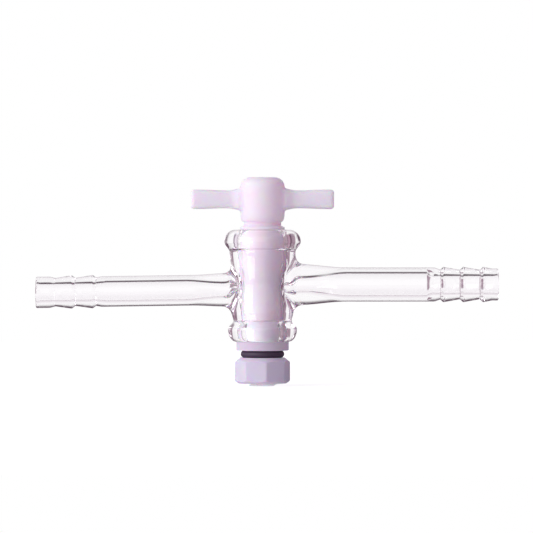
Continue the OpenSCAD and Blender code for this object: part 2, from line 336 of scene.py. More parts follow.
@dataclass
class Junction:
    """Where a branch along X grows out of, or into, a turned skin."""

    window: Window
    contour: Contour        # radius of the turned skin at a height
    height: float           # height of the branch's axis at the skin
    radius: Contour         # radius of the branch at an angle
    fillet: Contour         # fillet's radius at an angle
    inward: bool = False    # True where the branch is a bore towards the axis
    slope: float = 0.0      # fall of the branch's axis for each unit of its length
    swell: Contour | None = None    # growth of the branch's radius at a distance from the axis

    def point(self, out: Array, y: Array, z: Array) -> Array:
        """Puts distance from the axis, y and z together, on the window's side."""
        return np.stack([self.window.side * out, y, z], -1)

    def rings(self, edge: Array, spread: int, turn: int) -> Array:
        """Rings from the window's edge to the branch.

        The first ones lie on the turned skin and run from the window's edge to the fillet's
        foot, and the others run up the fillet.

        Args:
            edge: Points of the window's edge.
            spread: Rings on the skin.
            turn: Rings on the fillet.

        Returns:
            Points, one ring to a row.
        """
        a = self.window.angles()
        fillet = self.on_fillet(a, np.linspace(1, 0, turn + 1)[:, None] + 0 * a)
        foot = fillet[0]
        turned = [np.arcsin(np.clip(p[:, 1] / self.contour(p[:, 2]), -1, 1)) for p in (edge, foot)]
        t = (np.arange(1, spread) / spread)[:, None]
        z = edge[:, 2] + (foot[:, 2] - edge[:, 2]) * t
        theta = turned[0] + (turned[1] - turned[0]) * t
        r = self.contour(z)
        skin = self.point(r * np.cos(theta), r * np.sin(theta), z)
        return np.concatenate([skin, fillet])

    def on_fillet(self, a: Array, u: Array) -> Array:
        """Rings of the fillet, which runs from u = 1 at the skin to u = 0 at the branch.

        The distance from the branch's axis is radius + fillet * (1 - cos(pi u / 2)), and the
        skin's own surface is left by fillet * (1 - sin(pi u / 2)).

        Args:
            a: Angles round the branch.
            u: Shares of the fillet, one ring to a row.

        Returns:
            Points, one ring to a row.
        """
        bend = self.fillet(a)
        rho = self.radius(a) + bend * (1 - np.cos(np.pi * u / 2))
        lift = bend * (1 - np.sin(np.pi * u / 2)) * (-1 if self.inward else 1)
        if self.swell is not None:
            wall = np.sqrt(self.contour(self.height + 0 * a) ** 2 - (rho * np.sin(a)) ** 2)
            rho = rho + self.swell(wall + lift)
        y = rho * np.sin(a)
        z = self.height + rho * np.cos(a)
        out = np.sqrt(np.maximum(self.contour(z) ** 2 - y**2, 0)) + lift
        return self.point(out, y, z - lift * self.slope)

    def grow(self, skin: Skin, grid: Array, spread: int, turn: int) -> Array:
        """Carries the turned skin on from the window to the branch; gives the last ring."""
        edge = self.window.edge(grid)
        return skin.branch(edge, self.rings(skin.places(edge), spread, turn))


@dataclass
class Branch:
    """A tube along X with its own axis, as an arm or a bore."""

    side: int
    axis: Contour           # height of the axis at a distance from the key
    angles: Array

    def rings(self, outline: Array, start: Array | None = None) -> Array:
        """Rings at each point of an outline.

        Args:
            outline: Points of (radius, distance along the branch).
            start: Distances of the ring before the first, which the first rings ease away from.

        Returns:
            Points, one ring to a row.
        """
        r = outline[:, 0][:, None] + 0 * self.angles
        out = outline[:, 1][:, None] + 0 * self.angles
        if start is not None:
            out[0] = out[0] * 0.5 + start * 0.5
        return np.stack([self.side * out, r * np.sin(self.angles),
                         self.axis(out) + r * np.cos(self.angles)], -1)


def turned_points(outline: Array, columns: int, phase: float = 0.0) -> Array:
    """Turns an outline about the Z axis: (r cos a, r sin a, z) at even angles a.

    Args:
        outline: Points of (radius, height).
        columns: Points in each ring.
        phase: Angle of the first point.

    Returns:
        Points, one ring to a row.
    """
    a = phase + 2 * np.pi * np.arange(columns) / columns
    r, z = outline[:, 0][:, None], outline[:, 1][:, None]
    return np.stack([r * np.cos(a), r * np.sin(a), z + 0 * a], -1)


def ring_piece(points: Array, name: str) -> Piece:
    """Closes the rings of a ring-shaped piece, the last one to the first.

    Args:
        points: Points, one ring to a row.
        name: Name of the piece.

    Returns:
        The piece.
    """
    skin = Skin()
    grid = skin.add(points)
    skin.weave(np.concatenate([grid, grid[:1]]))
    return skin.build(name)


# ---------------------------------------------------------------- node helpers


def fed(made: Node, values: dict[object, object]) -> Node:
    """Gives a node its inputs: a socket is linked, and anything else is set as a constant.

    Args:
        made: The node.
        values: Sockets and constants by the input's name or number.

    Returns:
        The node.
    """
    for key, value in values.items():
        if isinstance(value, Socket):
            made.id_data.links.new(value, made.inputs[key])
        else:
            made.inputs[key].default_value = value
    return made


def node_of(tree: Tree, kind: str, inputs: dict[object, object] | None = None,
            **values: object) -> Node:
    """Adds a node.

    Args:
        tree: Node tree.
        kind: Type of the node.
        inputs: Sockets and constants by the input's name or number.
        values: Properties by name.

    Returns:
        The node.
    """
    made = tree.nodes.new(kind)
    for name, value in values.items():
        setattr(made, name, value)
    return fed(made, inputs or {})


def maths(tree: Tree, operation: str, *values: object) -> Socket:
    """Output of a Math node, its values sockets or numbers."""
    return node_of(tree, "ShaderNodeMath", dict(enumerate(values)), operation=operation).outputs[0]


def ramped(tree: Tree, value: Socket, edge: Pair, ends: Pair = (0.0, 1.0)) -> Socket:
    """A smooth ramp of a value: ends[0] up to edge[0] and ends[1] from edge[1] on."""
    inputs = dict(enumerate((value, *edge, *ends)))
    return node_of(tree, "ShaderNodeMapRange", inputs, interpolation_type="SMOOTHSTEP").outputs[0]


def mixed(tree: Tree, share: Socket, first: object, second: object) -> Socket:
    """A mix of two colours, each one a socket or four numbers, by the second one's share."""
    return node_of(tree, "ShaderNodeMix", {0: share, 6: first, 7: second},
                   data_type="RGBA").outputs[2]


def either(tree: Tree, share: Socket, first: Socket, second: Socket) -> Socket:
    """A mix of two shaders by the second one's share."""
    return node_of(tree, "ShaderNodeMixShader", {0: share, 1: first, 2: second}).outputs[0]


def along(tree: Tree, axis: str, source: str = "Object") -> Socket:
    """X, Y or Z of one of the Texture Coordinate node's vectors."""
    place = node_of(tree, "ShaderNodeTexCoord").outputs[source]
    return node_of(tree, "ShaderNodeSeparateXYZ", {0: place}).outputs[axis]


def stretched(tree: Tree, factors: Triple) -> Socket:
    """Object coordinates times one factor for each axis."""
    inputs = {0: node_of(tree, "ShaderNodeTexCoord").outputs["Object"], 1: factors}
    return node_of(tree, "ShaderNodeVectorMath", inputs, operation="MULTIPLY").outputs[0]


def reach_of(tree: Tree) -> Socket:
    """Distance from the Z axis, in metres."""
    return node_of(tree, "ShaderNodeVectorMath", {0: stretched(tree, (1, 1, 0))},
                   operation="LENGTH").outputs["Value"]


def light_path(tree: Tree, name: str) -> Socket:
    """One output of a Light Path node."""
    return node_of(tree, "ShaderNodeLightPath").outputs[name]


def surface(tree: Tree, shader: Socket) -> None:
    """Makes a shader the material's surface."""
    fed(tree.nodes["Material Output"], {"Surface": shader})


# ---------------------------------------------------------------- finishes


def new_group(name: str, inputs: dict[str, float], outputs: tuple[str, ...]) -> tuple:
    """Starts a shader node group with named sockets.

    Args:
        name: Name of the group.
        inputs: Default value of each input.
        outputs: Names of the outputs, all of them values.

    Returns:
        The group, its input node and its output node.
    """
    group = bpy.data.node_groups.new(name, "ShaderNodeTree")
    for key, value in inputs.items():
        socket = group.interface.new_socket(name=key, in_out="INPUT", socket_type="NodeSocketFloat")
        socket.default_value = value
    for key in outputs:
        group.interface.new_socket(name=key, in_out="OUTPUT", socket_type="NodeSocketFloat")
    return group, node_of(group, "NodeGroupInput"), node_of(group, "NodeGroupOutput")


def grain_group() -> Tree:
    """Cloudiness and fine grain of a moulded or turned plastic, from Object coordinates.

    Returns:
        The group.
    """
    group, source, sink = new_group("plastic_grain", {"Cloud scale": 90.0, "Grain scale": 2600.0},
                                    ("Cloud", "Grain"))
    place = node_of(group, "ShaderNodeTexCoord").outputs["Object"]
    for name, detail in (("Cloud", 3.0), ("Grain", 2.0)):
        noise = node_of(group, "ShaderNodeTexNoise", {
            "Vector": place, "Scale": source.outputs[f"{name} scale"], "Detail": detail})
        fed(sink, {name: noise.outputs["Fac"]})
    return group


def ring_group() -> Tree:
    """Fine tool rings round the Z axis: sin(feed z) / 2 and a little noise of feed z.

    Returns:
        The group.
    """
    group, source, sink = new_group("tool_rings", {"Feed": 3500.0, "Unevenness": 0.35}, ("Height",))
    height, feed = along(group, "Z"), source.outputs["Feed"]
    noise = node_of(group, "ShaderNodeTexNoise", {"W": height, "Scale": feed, "Detail": 1.0},
                    noise_dimensions="1D")
    rings = maths(group, "SINE", maths(group, "MULTIPLY", height, feed))
    uneven = maths(group, "MULTIPLY", noise.outputs["Fac"], source.outputs["Unevenness"])
    fed(sink, {"Height": maths(group, "ADD", maths(group, "MULTIPLY", rings, 0.5), uneven)})
    return group


class Effects:
    """The shared node groups, each one built once."""

    def __init__(self) -> None:
        """Builds the groups."""
        self.grain = grain_group()
        self.rings = ring_group()

    @staticmethod
    def place(tree: Tree, group: Tree, **values: float) -> Node:
        """Puts a group into a material; values are its inputs, with _ for a space."""
        named = {key.replace("_", " "): value for key, value in values.items()}
        return node_of(tree, "ShaderNodeGroup", named, node_tree=group)


@dataclass(frozen=True)
class Finish:
    """What every finish has in common."""

    name: str

    def start(self) -> tuple[bpy.types.Material, Tree, Node]:
        """Makes the material.

        Returns:
            The material, its tree and its Principled shader.
        """
        material = bpy.data.materials.new(self.name)
        material.use_nodes = True
        tree = material.node_tree
        return material, tree, tree.nodes["Principled BSDF"]

    @staticmethod
    def colour(shader: Node, cloud: Socket, dark: Colour, light: Colour,
               spread: Pair = (0.0, 1.0)) -> None:
        """Passes the base colour from one to the other with a cloud's value.

        Args:
            shader: The Principled shader.
            cloud: The cloud's value.
            dark: Colour at the spread's low end.
            light: Colour at its high end.
            spread: Both ends.
        """
        ramp = node_of(shader.id_data, "ShaderNodeValToRGB", {"Fac": cloud})
        for end, place, shade in zip(ramp.color_ramp.elements, spread, (dark, light)):
            end.position, end.color = place, shade
        fed(shader, {"Base Color": ramp.outputs["Color"]})

    @staticmethod
    def bump(shader: Node, height: Socket, distance: float = 1.0) -> None:
        """Gives the Principled shader a height, in units of the distance, to shade by."""
        made = node_of(shader.id_data, "ShaderNodeBump", {"Distance": distance, "Height": height})
        fed(shader, {"Normal": made.outputs["Normal"]})


@dataclass(frozen=True)
class Plastic(Finish):
    """An opaque or waxy plastic, a little cloudy, with tool rings and a fine grain."""

    light: Colour           # where it is clear
    deep: Colour            # where it is cloudy
    roughness: float = 0.4
    rubbed: float = 0.12    # how far its roughness varies
    depth: float = 0.0      # how far light strays inside it, in metres
    strays: Triple = (1.0, 1.0, 1.0)
    ring_height: float = 0.0
    feed: float = 3500.0
    grain_height: float = 0.00001
    gloss: float = 0.2      # specular level
    spread: Pair = (0.3, 0.7)

    def make(self, effects: Effects) -> bpy.types.Material:
        """Builds the material.

        Args:
            effects: The shared groups.

        Returns:
            The material.
        """
        material, tree, shader = self.start()
        grain = effects.place(tree, effects.grain).outputs
        rings = effects.place(tree, effects.rings, Feed=self.feed).outputs
        self.colour(shader, grain["Cloud"], self.deep, self.light, self.spread)
        tooled = maths(tree, "MULTIPLY", rings["Height"], self.ring_height)
        grained = maths(tree, "MULTIPLY", grain["Grain"], self.grain_height)
        self.bump(shader, maths(tree, "ADD", tooled, grained))
        rough = maths(tree, "MULTIPLY_ADD", grain["Grain"], self.rubbed,
                      self.roughness - self.rubbed / 2)
        fed(shader, {"Roughness": rough, "Specular IOR Level": self.gloss})
        if self.depth:
            fed(shader, {"Subsurface Weight": 1.0, "Subsurface Scale": self.depth,
                         "Subsurface Radius": self.strays})
        return material


@dataclass(frozen=True)
class Rubber(Finish):
    """A soft black rubber with a dull bloom and a fine grain."""

    dark: Colour
    bloom: Colour
    roughness: float = 0.38     # where it has no bloom
    dulled: float = 0.25        # how much the bloom adds to it
    grain_height: float = 0.000012

    def make(self, effects: Effects) -> bpy.types.Material:
        """Builds the material.

        Args:
            effects: The shared groups.

        Returns:
            The material.
        """
        material, tree, shader = self.start()
        grain = effects.place(tree, effects.grain, Cloud_scale=400.0, Grain_scale=5000.0).outputs
        self.colour(shader, grain["Cloud"], self.dark, self.bloom)
        self.bump(shader, grain["Grain"], self.grain_height)
        fed(shader, {"Roughness": maths(tree, "MULTIPLY_ADD", grain["Cloud"], self.dulled,
                                        self.roughness)})
        return material


@dataclass(frozen=True)
class Glass(Finish):
    """Flame-worked borosilicate glass: clear, with faint waves, a streaky ground bore and a painted
    dark rim where the skin is seen edge-on.
    """

    tint: Colour = (1.0, 0.99, 1.0, 1.0)
    bend: float = 1.473
    wave_scale: float = 260.0
    wave_height: float = 0.000006
    streak_scale: float = 900.0
    streak_length: float = 0.35         # share of its frequency that a streak keeps along Z
    streak_height: float = 0.00004
    bore_edge: Pair = (0.0068, 0.0072)
    passes: Colour = (0.75, 0.75, 0.75, 1.0)    # a lamp's light that goes straight through
    trapped: float = 2.5                # reflections after which a ray is let out
    freed: Colour = (0.9, 0.86, 0.9, 1.0)       # what is left of it at each surface
    mirror: Pair = (0.25, 0.27)         # steepness from which the bore mirrors
    touch: Pair = (0.37, 0.40)          # steepness up to which the seat touches the key
    edge: Colour = (0.22, 0.15, 0.20, 1.0)      # painted dark rim: the base colour where the skin is seen edge-on, standing in for dark surroundings
    # facing values over which the painted dark rim comes in
    painted_rim_facing: Pair = (0.55, 0.86)

    def make(self, effects: Effects) -> bpy.types.Material:
        """Builds the material.

        Args:
            effects: The shared groups.

        Returns:
            The material.
        """
        material, tree, shader = self.start()
        # painted dark rim: Layer Weight facing darkens the base colour towards the edge colour
        # where the skin is seen edge-on
        facing = node_of(tree, "ShaderNodeLayerWeight").outputs["Facing"]
        tint = mixed(tree, ramped(tree, facing, self.painted_rim_facing), self.tint, self.edge)
        fed(shader, {"Base Color": tint, "Roughness": 0.0, "IOR": self.bend,
                     "Transmission Weight": 1.0})
        waves = effects.place(tree, effects.grain, Cloud_scale=self.wave_scale)
        wave = maths(tree, "MULTIPLY", waves.outputs["Cloud"], self.wave_height)
        self.bump(shader, maths(tree, "ADD", wave, self.streaks(tree)))
        self.let_through(tree, shader)
        return material

    def in_bore(self, tree: Tree, value: float = 1.0) -> Socket:
        """The value in the barrel's bore, and 0 in the glass round it."""
        return ramped(tree, reach_of(tree), self.bore_edge, (value, 0.0))

    def streaks(self, tree: Tree) -> Socket:
        """Height of the upright streaks in the ground bore; none on the rest of the glass.

        Args:
            tree: The material's tree.

        Returns:
            A socket.
        """
        noise = node_of(tree, "ShaderNodeTexNoise", {
            "Vector": stretched(tree, (1, 1, self.streak_length)),
            "Scale": self.streak_scale, "Detail": 1.0})
        return maths(tree, "MULTIPLY", noise.outputs["Fac"],
                     self.in_bore(tree, self.streak_height))

    def contact(self, tree: Tree) -> Socket:
        """1 where the bore lies against the key, for rays inside the glass that meet it there.

        Args:
            tree: The material's tree.

        Returns:
            A socket.
        """
        facing = node_of(tree, "ShaderNodeLayerWeight").outputs["Facing"]
        band = maths(tree, "MULTIPLY", ramped(tree, facing, self.mirror),
                     ramped(tree, facing, self.touch, (1.0, 0.0)))
        inside = node_of(tree, "ShaderNodeNewGeometry").outputs["Backfacing"]
        return maths(tree, "MULTIPLY", maths(tree, "MULTIPLY", inside, self.in_bore(tree)), band)

    def let_through(self, tree: Tree, shader: Node) -> None:
        """Lets part of a lamp's light through the glass, and frees rays that are caught in it.

        Args:
            tree: The material's tree.
            shader: Its Principled shader.
        """
        shadow = light_path(tree, "Is Shadow Ray")
        caught = maths(tree, "GREATER_THAN", light_path(tree, "Glossy Depth"), self.trapped)
        caught = maths(tree, "MAXIMUM", caught, self.contact(tree))
        clear = node_of(tree, "ShaderNodeBsdfTransparent",
                        {"Color": mixed(tree, shadow, self.freed, self.passes)})
        surface(tree, either(tree, maths(tree, "MAXIMUM", shadow, caught), shader.outputs["BSDF"],
                             clear.outputs["BSDF"]))


class Finishes(Enum):
    """The finishes of the stopcock's pieces."""

    GLASS = Glass("blown_glass")
    KEY = Plastic("turned_fluoroplastic", (0.93, 0.845, 0.985, 1), (0.90, 0.815, 0.965, 1),
                  roughness=0.42, depth=0.006, strays=(1.0, 0.38, 0.65),
                  ring_height=0.0000012, feed=9000.0)
    WASHER = Plastic("washer_fluoroplastic", (0.75, 0.68, 0.80, 1), (0.72, 0.65, 0.77, 1),
                     roughness=0.45, depth=0.0012, strays=(1.0, 0.35, 0.6),
                     ring_height=0.000001, feed=9000.0)
    RUBBER = Rubber("seal_rubber", (0.050, 0.030, 0.060, 1), (0.078, 0.050, 0.092, 1))
    NUT = Plastic("moulded_nut", (0.77, 0.71, 0.84, 1), (0.74, 0.68, 0.81, 1), roughness=0.36,
                  depth=0.0003, strays=(1.0, 0.3, 0.6))


def dress(piece: Piece, finish: Finishes, effects: Effects, body: str, node: str) -> None:
    """Gives a piece its material and its place in the frame.

    Args:
        piece: The piece.
        finish: Its finish.
        effects: The shared groups.
        body: The body that it rides on.
        node: The node that it stands for.
    """
    piece.data.materials.append(finish.value.make(effects))
    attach(piece, body)
    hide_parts(node)
    LOG.info("%s: %d faces, rides on %s", piece.name, len(piece.data.polygons), body)


# ---------------------------------------------------------------- sub-assemblies


@dataclass
class Taper:
    """The ground taper that the glass seat and the key share."""

    big_d: float = 12.5     # at the plug's shoulder
    run: float = 10.0       # length for each millimetre of diameter
    proud: float = 0.6      # above the barrel's mouth
    port_r: float = 1.25
    port_h: float = 15.3    # above the barrel's foot

    def __post_init__(self) -> None:
        """Takes the heights from the frame."""
        low, high = span("glass_body")
        self.foot = float(low[2])
        self.top = float(high[2]) + self.proud
        self.port_z = self.foot + self.port_h

    def radius(self, z: Array) -> Array:
        """Radius of the plug at a height: half of the big diameter less the taper."""
        return (self.big_d - (self.top - z) / self.run) / 2


@dataclass
class HoseEnd:
    """The serrations of a hose end. Distances run from its tip."""

    neck_r: float           # where they begin
    crest_r: float
    root_r: float
    count: int
    pitch: float
    first: float            # of the crest nearest the tip
    back: float             # length of a crest's steep back
    ramp: float             # length of its ramp towards the tip
    last: Pair              # length of the last ramp, and the radius at its foot
    bends: Triple           # rounding of a back's foot, a crest and a ramp's foot
    tip: list[tuple]        # corners from there to the tip
    neck: Pair = (1.6, 2.0)             # length of the neck's slope, and its rounding

    def corners(self) -> list[tuple]:
        """The outline's corners from the neck to the tip.

        Returns:
            Each one's radius, distance from the tip and rounding.
        """
        start = self.first + (self.count - 1) * self.pitch + self.back + self.neck[0]
        found: list[tuple] = [(self.neck_r, start, self.neck[1])]
        for i in reversed(range(self.count)):
            at = self.first + i * self.pitch
            fall, foot = (self.ramp, self.root_r) if i else self.last
            places = ((self.root_r, at + self.back), (self.crest_r, at), (foot, at - fall))
            found += [(*place, bend) for place, bend in zip(places, self.bends)]
        return found + self.tip


@dataclass
class Arm:
    """One side arm of the glass and its hose end. Distances run from the key's axis."""

    side: int
    tube_r: float
    bore_r: float
    reach: float
    height: float           # of its axis above the barrel's foot, at the key's axis
    droop: float            # in degrees
    swell: float            # growth of the tube's radius at the barrel
    swell_end: float        # distance at which the growth has died away
    flare_end: float        # distance at which the bore has opened out
    end_r: float            # radius of the bore under the serrations
    end_l: float            # length of that bore
    hose: HoseEnd
    polish: float = 0.35    # radius of the flame-polished lip
    polish_l: float = 1.5   # how far in the lip's flare reaches
    swell_start: float = 9.5        # distance up to which the growth is whole
    throat_r: float = 1.9
    throat: float = 3.0     # of the throat from the barrel's wall
    step_l: float = 2.0     # over which the bore draws in to the hose end
    longest: float = 3.0    # longest straight run left whole
    tube_rows: int = 22
    flare_rows: int = 26
    port_rows: int = 14

    def slope(self) -> float:
        """Fall of the arm's axis for each unit of its length."""
        return math.tan(math.radians(self.droop))

    def growth(self, out: Array) -> Array:
        """Growth of the tube's radius at a distance from the key's axis."""
        return eased(out, [(self.swell_start, self.swell), (self.swell_end, 0.0)])

    def outside(self, start: float) -> Array:
        """The tube, its serrations and the outer half of its polished tip.

        Args:
            start: Distance at which the outline begins.

        Returns:
            Points of (radius, distance).
        """
        near = np.linspace(start, self.swell_end, self.tube_rows)
        tube = np.stack([self.tube_r + self.growth(near), near], 1)
        serrated = self.hose.corners()
        tip_r, edge = serrated[-1][0], self.reach - self.polish
        corners = [(self.tube_r, self.swell_end, 0),
                   *((r, self.reach - d, bend) for r, d, bend in serrated), (tip_r, edge, 0)]
        lip = arc((tip_r - self.polish, edge), (self.polish,) * 2, 0, 90, 6)
        return np.concatenate([tube[:-1], held(rounded(corners), longest=self.longest), lip[1:]])

    def inside(self, taper: Taper, barrel_r: float) -> Array:
        """The bore from the tip back to the port.

        Args:
            taper: The seat.
            barrel_r: Radius of the barrel's waist.

        Returns:
            Points of (radius, distance), from the tip inwards.
        """
        step, throat = self.reach - self.end_l, barrel_r + self.throat
        mouth = [(self.end_r + self.polish, self.reach, 0),
                 (self.end_r + self.polish * 0.6, self.reach - 0.3, 0.3),
                 (self.end_r, self.reach - self.polish_l, 2.0), (self.end_r, step, 1.6),
                 (self.bore_r, step - self.step_l, 1.6), (self.bore_r, self.flare_end, 0)]
        d = np.linspace(self.flare_end, throat, self.flare_rows)
        flare = [eased(d, [(throat, self.throat_r), (self.flare_end, self.bore_r)]), d]
        d = np.linspace(throat, taper.big_d / 2 + 0.3, self.port_rows)
        port = [eased(d, [(barrel_r - 0.6, taper.port_r), (barrel_r + 1.6, self.throat_r)]), d]
        return np.concatenate([held(rounded(mouth), longest=self.longest),
                               np.stack(flare, 1)[1:], np.stack(port, 1)[1:]])


def side_arms() -> tuple[Arm, Arm]:
    """The two arms of the glass.

    Returns:
        The right arm, with three crests, and the left one, with two crests and a plain tip.
    """
    right = HoseEnd(neck_r=4.8, crest_r=5.0, root_r=4.2, count=3, pitch=5.6, first=4.3, back=0.8,
                    ramp=4.4, last=(2.5, 4.5), bends=(0.4, 0.4, 0.7), tip=[(4.5, 1.0, 0)])
    left = HoseEnd(neck_r=4.3, crest_r=4.7, root_r=4.0, count=2, pitch=5.9, first=10.1, back=0.9,
                   ramp=4.6, last=(4.6, 4.0), bends=(0.4, 0.45, 0.5),
                   tip=[(4.4, 3.9, 0.5), (4.4, 1.0, 0)])
    return (Arm(side=1, tube_r=4.8, bore_r=3.2, reach=66.3, height=16.05, droop=0.0, swell=1.0,
                swell_end=24.0, flare_end=23.9, end_r=2.5, end_l=18.0, hose=right),
            Arm(side=-1, tube_r=4.3, bore_r=2.65, reach=63.7, height=14.7, droop=0.8, swell=0.4,
                swell_end=20.0, flare_end=21.9, end_r=2.4, end_l=17.5, hose=left))


@dataclass
class BlownGlass:
    """The barrel and its two arms, one closed skin of glass. Heights run from its foot."""

    taper: Taper
    columns: int = 120
    gap: float = 0.03           # between seat and plug
    waist_r: float = 7.9
    shoulder: float = 1.4       # growth of the waist under the mouth's bead
    shoulder_h: float = 3.0     # how far below that bead it is reached
    seat_wall: Pair = (8.2, 8.6)        # outer radius at the seat's foot and a little over it
    lip: float = 0.2
    foot_bore_r: float = 6.05
    foot_flat: float = 1.4
    foot_bead_r: float = 9.7
    foot_bead_h: float = 3.6
    seam: Pair = (1.5, 2.2)     # heights in the foot's bore where the outline begins and ends
    seat_h: float = 5.9         # of the seat's foot
    mouth_r: float = 7.3
    mouth_bead_r: float = 10.8
    mouth_bead_h: float = 3.4
    mouth_depth: float = 5.05
    seal_tall: float = 2.8      # an arm's fillet above and below the arm
    seal_wide: float = 1.2      # and at its sides
    wall_window: Pair = (6.7, 25.4)     # heights between which an arm joins the wall
    wall_cells: Cells = (36, 22)
    seat_window: float = 5.0    # how far a port's window reaches above and below the port
    seat_cells: Cells = (52, 14)
    port_edge: float = 0.12     # rounding of a port's edge
    settling: Pair = (1.2, 3.0) # inside and outside the wall, where a bore takes its arm's axis

    def __post_init__(self) -> None:
        """Works out the barrel's heights."""
        self.foot = self.taper.foot
        self.top = self.taper.top - self.taper.proud
        self.seat_z = self.foot + self.seat_h
        self.seat_top = self.top - self.mouth_depth
        self.mouth_z = self.top - self.mouth_bead_h
        self.arms = side_arms()
        self.knots = [(self.foot + self.foot_bead_h, self.foot_bead_r),
                      (self.seat_z, self.seat_wall[0]), (self.seat_z + 2, self.seat_wall[1]),
                      (self.foot + self.arms[0].height, self.waist_r),
                      (self.mouth_z - self.shoulder_h, self.waist_r + self.shoulder),
                      (self.mouth_z, self.mouth_bead_r)]

    def wall(self, z: Array) -> Array:
        """Outer radius of the barrel at a height between its beads."""
        return eased(z, self.knots)

    def seat(self, z: Array) -> Array:
        """Radius of the ground seat at a height."""
        return self.taper.radius(z) + self.gap

    def seal(self, a: Array) -> Array:
        """Fillet of an arm's seal: tall above and below the arm, small at its sides."""
        return self.seal_wide + (self.seal_tall - self.seal_wide) * np.cos(a) ** 2

    def arm_axis(self, arm: Arm, out: Array) -> Array:
        """Height of an arm's axis at a distance from the key's."""
        return self.foot + arm.height - out * arm.slope()

    def bore_axis(self, axis: Contour, out: Array) -> Array:
        """Height of a bore's axis: the port's at the seat, the arm's further out."""
        share = smooth_step(out, self.waist_r - self.settling[0], self.waist_r + self.settling[1])
        return self.taper.port_z * (1 - share) + axis(out) * share

    def barrel_rows(self) -> tuple[Array, tuple[int, int], tuple[int, int]]:
        """The barrel's closed outline: foot, wall, mouth, seat and back to the foot.

        Returns:
            Points of (radius, height), the wall window's rows and the seat window's rows.
        """
        lip, foot, top, bore_r, mouth_r = (self.lip, self.foot, self.top, self.foot_bore_r,
                                           self.mouth_r)
        flat_r, bead_z = bore_r + self.foot_flat, foot + self.foot_bead_h
        low = held(rounded([(bore_r, foot + self.seam[0], 0), (bore_r, foot, lip),
                            (flat_r, foot, 0)]))
        bead = arc((flat_r, bead_z), (self.foot_bead_r - flat_r, self.foot_bead_h), -90, 0, 16)
        window = tuple(foot + height for height in self.wall_window)
        below = np.linspace(bead_z, window[0], 12)[1:-1]
        z = np.concatenate([below, np.linspace(*window, self.wall_cells[0] + 1),
                            np.linspace(window[1], self.mouth_z, 12)[1:]])
        wall = np.stack([self.wall(z), z], 1)
        over = arc((mouth_r + lip, self.mouth_z),
                   (self.mouth_bead_r - mouth_r - lip, self.mouth_bead_h), 0, 90, 18)
        port, step, clear = self.taper.port_z, self.seat_top, self.seat_window + 1
        mouth = held(rounded([(mouth_r + lip + 0.01, top, 0), (mouth_r, top, lip * 0.9),
                              (mouth_r, step + 1.6, 0.8), (mouth_r - 0.3, step + 0.6, 0.4),
                              (self.seat(step), step, 0.3),
                              (self.seat(port + clear), port + clear, 0)]))
        z = np.linspace(port + self.seat_window, port - self.seat_window, self.seat_cells[0] + 1)
        seat = np.stack([self.seat(z), z], 1)
        last = held(rounded([(self.seat(port - clear), port - clear, 0),
                             (self.seat(self.seat_z), self.seat_z, 0.15),
                             (bore_r, self.seat_z, 0.5), (bore_r, foot + self.seam[1], 0)]))
        rows = [low[:-1], bead, wall, over[1:], mouth[1:], seat, last]
        outer = len(rows[0]) + len(bead) + len(below)
        inner = sum(len(r) for r in rows[:5])
        return (np.concatenate(rows), (outer, outer + self.wall_cells[0]),
                (inner + self.seat_cells[0], inner))

    def grow_arm(self, skin: Skin, grid: Array, arm: Arm, window: Window) -> Array:
        """Grows an arm out of the barrel, round its tip and back down its bore.

        Args:
            skin: The glass's skin.
            grid: Indices of the barrel, one ring to a row.
            arm: The arm.
            window: Where it joins the barrel.

        Returns:
            Indices of the bore's last ring.
        """
        axis = partial(self.arm_axis, arm)
        join = Junction(window, self.wall, axis(self.waist_r), level(arm.tube_r), self.seal,
                        slope=arm.slope(), swell=arm.growth)
        last = join.grow(skin, grid, spread=8, turn=12)
        start = np.abs(skin.places(last)[:, 0])
        tube = Branch(arm.side, axis, window.angles())
        last = skin.branch(last, tube.rings(arm.outside(float(start.max()) + 0.6), start))
        bore = Branch(arm.side, partial(self.bore_axis, axis), window.angles())
        return skin.branch(last, bore.rings(arm.inside(self.taper, self.waist_r)))

    def build(self) -> Piece:
        """Builds the glass.

        Returns:
            The piece.
        """
        skin = Skin()
        outline, wall_rows, seat_rows = self.barrel_rows()
        grid = skin.add(turned_points(outline, self.columns))
        grid = np.concatenate([grid, grid[:1]])
        kept = np.ones((len(grid) - 1, self.columns), bool)
        for arm in self.arms:
            outer = Window(arm.side, self.wall_cells[1], *wall_rows)
            inner = Window(arm.side, self.seat_cells[1], *seat_rows)
            kept &= ~outer.cells(kept.shape) & ~inner.cells(kept.shape)
            port = Junction(inner, self.seat, self.taper.port_z, level(self.taper.port_r),
                            level(self.port_edge))
            skin.weave(np.stack([self.grow_arm(skin, grid, arm, outer),
                                 port.grow(skin, grid, spread=8, turn=4)]))
        skin.weave(grid, kept)
        return skin.build("blown_glass")


@dataclass
class Thread:
    """A right-hand thread round the Z axis."""

    pitch: float = 1.25
    depth: float = 0.7
    flats: Pair = (0.12, 0.88)  # of the wave's height, below and above which it is cut flat

    def groove(self, a: Array, z: Array) -> Array:
        """Depth below the crest: a triangle wave of z / pitch - a / turn, its tops cut flat."""
        phase = np.mod(z / self.pitch - a / (2 * np.pi), 1.0)
        return self.depth * smooth_step(np.abs(phase * 2 - 1), *self.flats)


